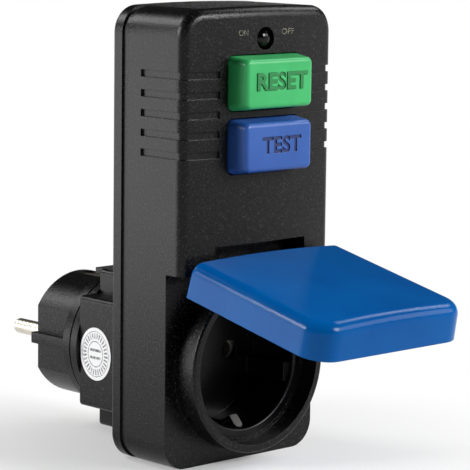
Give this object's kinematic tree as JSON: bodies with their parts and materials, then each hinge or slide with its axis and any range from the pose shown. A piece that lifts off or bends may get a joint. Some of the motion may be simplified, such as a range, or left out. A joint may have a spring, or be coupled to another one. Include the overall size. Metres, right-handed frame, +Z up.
{
  "type": "residual current adapter plug",
  "caption": "Plug-in residual current adapter: black housing with a mains plug behind, a round socket under an open blue hinged lid, and green and blue push keys below a lamp window.",
  "frame": {"origin": "centre of the plug's front face, midway between the two pins", "axes": "+Y along the pins, out of the plug and into the wall; +Z up along the housing's height; +X to the right seen from the front, across the two pins"},
  "size_m": [0.0608, 0.1582, 0.1358],
  "materials": {
    "black_housing": "fine moulded grain, satin",
    "black_socket": "moulded, semi-gloss",
    "blue_lid": "moulded, satin",
    "blue_key": "moulded, satin",
    "green_key": "moulded, satin",
    "black_rubber": "matt",
    "steel": "zinc plated",
    "nickel": "nickel plated brass, bright",
    "brass": "stamped, satin",
    "copper": "drawn copper",
    "spring_steel": "bright drawn",
    "white_nylon": "moulded",
    "dark_lens": "dark, glossy",
    "lamp_red": "clear tinted",
    "board_green": "lacquered laminate",
    "component_black": "moulded",
    "component_blue": "dipped lacquer",
    "resistor_tan": "lacquered",
    "ferrite": "sintered, matt",
    "wire_blue": "extruded insulation",
    "wire_brown": "extruded insulation",
    "label_white": "printed film"
  },
  "bodies": {
    "housing": {"front_housing": "black_housing", "rear_housing": "black_housing", "plug_neck": "black_housing", "housing_seal": "black_rubber", "housing_screws": "steel", "socket_insert": "black_socket", "socket_earth_clip": "nickel", "line_receptacle": "nickel", "neutral_receptacle": "nickel", "hinge_pin": "steel", "reset_spring": "spring_steel", "test_spring": "spring_steel", "mechanism_frame": "white_nylon", "fixed_contacts": "copper", "opening_springs": "spring_steel", "magnet_yoke": "steel", "coil_bobbin": "white_nylon", "coil_winding": "copper", "indicator_lens": "dark_lens", "indicator_lamp": "lamp_red", "test_leaf": "brass", "test_resistor": "resistor_tan", "circuit_board": "board_green", "sensing_core": "ferrite", "sensing_winding": "copper", "control_chip": "component_black", "surge_varistor": "component_blue", "smoothing_capacitor": "component_black", "small_resistors": "resistor_tan", "line_supply_bar": "copper", "neutral_supply_bar": "copper", "line_load_wire": "wire_brown", "neutral_load_wire": "wire_blue", "earth_strap": "copper", "plug_body": "black_housing", "line_pin": "nickel", "neutral_pin": "nickel", "plug_earth_bow": "nickel", "plug_screws": "steel", "label_sticker": "label_white"},
    "lid": {"socket_lid": "blue_lid", "lid_gasket": "black_rubber"},
    "reset_key": {"reset_button": "green_key"},
    "test_key": {"test_button": "blue_key"},
    "carriage": {"contact_carriage": "white_nylon", "armature": "steel", "moving_contacts": "copper"}
  },
  "joints": [
    {"name": "lid_hinge", "type": "hinge", "parent": "housing", "child": "lid", "pos_m": [0, -0.0815, 0.0317], "axis": [1, 0, 0], "range_deg": [-12, 77.6]},
    {"name": "reset_press", "type": "slide", "parent": "housing", "child": "reset_key", "axis": [0, 1, 0], "range_m": [0, 0.0025], "stiffness_N_per_m": 600, "springref_m": -0.0015, "deforming": ["reset_spring"]},
    {"name": "test_press", "type": "slide", "parent": "housing", "child": "test_key", "axis": [0, 1, 0], "range_m": [0, 0.0025], "stiffness_N_per_m": 600, "springref_m": -0.0015, "deforming": ["test_spring"]},
    {"name": "carriage_slide", "type": "slide", "parent": "housing", "child": "carriage", "axis": [0, 1, 0], "range_m": [0, 0.0025], "deforming": ["opening_springs"]}
  ],
  "couplings": [
    {"joint": "carriage_slide", "follows": "reset_press", "ratio": 1}
  ]
}
